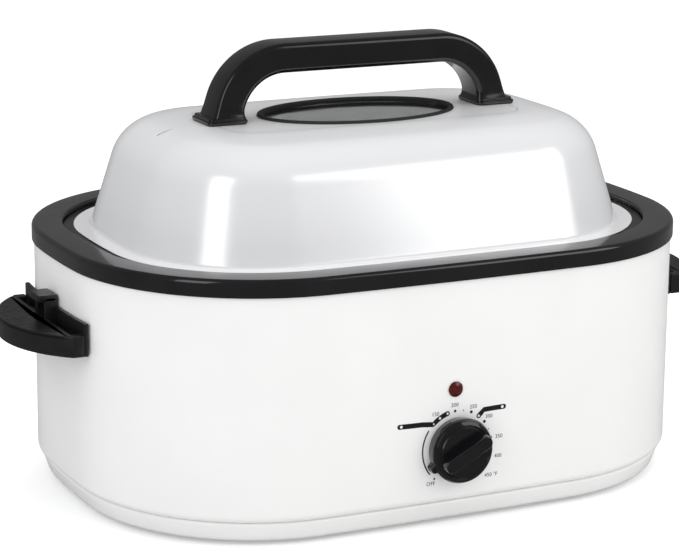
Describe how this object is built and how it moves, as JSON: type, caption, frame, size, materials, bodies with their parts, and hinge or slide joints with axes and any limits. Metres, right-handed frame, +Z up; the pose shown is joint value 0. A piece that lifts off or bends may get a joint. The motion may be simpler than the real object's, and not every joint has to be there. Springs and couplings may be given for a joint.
{
  "type": "electric roaster oven",
  "caption": "Countertop roaster oven: white steel housing with a black rim, lift-out pan and rack, and a lift-off domed lid with a window; temperature knob in front.",
  "frame": {"origin": "middle of the bounding box, on the surface that the rubber feet stand on", "axes": "+Z up, -Y towards the user (the side with the knob), +X to the user's right"},
  "size_m": [0.648, 0.4268, 0.384],
  "materials": {
    "white_paint": "gloss",
    "lid_paint": "gloss",
    "rubber": "matte",
    "black_enamel": "gloss",
    "pan_enamel": "gloss",
    "aluminised_steel": "satin",
    "glass_fibre": "matte",
    "mica_band": "satin",
    "porcelain": "gloss",
    "brass": "satin",
    "zinc_steel": "satin",
    "black_phenolic": "gloss",
    "spring_steel": "satin",
    "thermostat_case": "matte",
    "red_lens": "gloss",
    "black_nylon": "satin",
    "lead_black": "satin",
    "lead_red": "satin",
    "lead_white": "satin",
    "copper": "satin",
    "chrome_wire": "gloss",
    "clear_glass": "gloss",
    "gasket_rubber": "matte"
  },
  "bodies": {
    "base": {"outer_shell": "white_paint", "base_pan": "white_paint", "rubber_feet": "rubber", "rim_ring": "black_enamel", "liner": "aluminised_steel", "insulation_blanket": "glass_fibre", "heater_band": "mica_band", "stud_bases": "porcelain", "terminal_studs": "brass", "liner_brackets": "zinc_steel", "base_screws": "zinc_steel", "thermostat": "thermostat_case", "thermostat_nut": "zinc_steel", "pilot_lens": "red_lens", "pilot_lamp": "black_nylon", "pilot_clip": "spring_steel", "cord_gland": "black_nylon", "terminal_block": "porcelain", "thermal_fuse": "zinc_steel", "fuse_strap": "spring_steel", "lead_live": "lead_black", "lead_heater": "lead_red", "lead_neutral": "lead_white", "lead_fuse": "lead_white", "sensor_bulb": "copper", "sensor_clips": "spring_steel", "capillary_tube": "copper", "side_handle_left": "black_phenolic", "side_handle_right": "black_phenolic", "side_handle_screws": "zinc_steel"},
    "knob": {"knob": "black_phenolic", "knob_clip": "spring_steel", "control_shaft": "zinc_steel"},
    "pan": {"roasting_pan": "pan_enamel"},
    "rack": {"rack": "chrome_wire"},
    "lid": {"lid_dome": "lid_paint", "window_glass": "clear_glass", "window_gasket": "gasket_rubber", "lid_handle": "black_phenolic", "lid_handle_gaskets": "gasket_rubber", "lid_washers": "zinc_steel", "lid_handle_screws": "zinc_steel"}
  },
  "joints": [
    {"name": "knob_turn", "type": "hinge", "parent": "base", "child": "knob", "pos_m": [-0.0015, -0.1896, 0.068], "axis": [0, 1, 0], "range_deg": [0, 279]},
    {"name": "pan_lift", "type": "slide", "parent": "base", "child": "pan", "axis": [0, 0, 1], "range_m": [0, 0.21]},
    {"name": "rack_lift", "type": "slide", "parent": "pan", "child": "rack", "axis": [0, 0, 1], "range_m": [0, 0.2]},
    {"name": "lid_lift", "type": "slide", "parent": "rack", "child": "lid", "axis": [0, 0, 1], "range_m": [0, 0.28]}
  ]
}
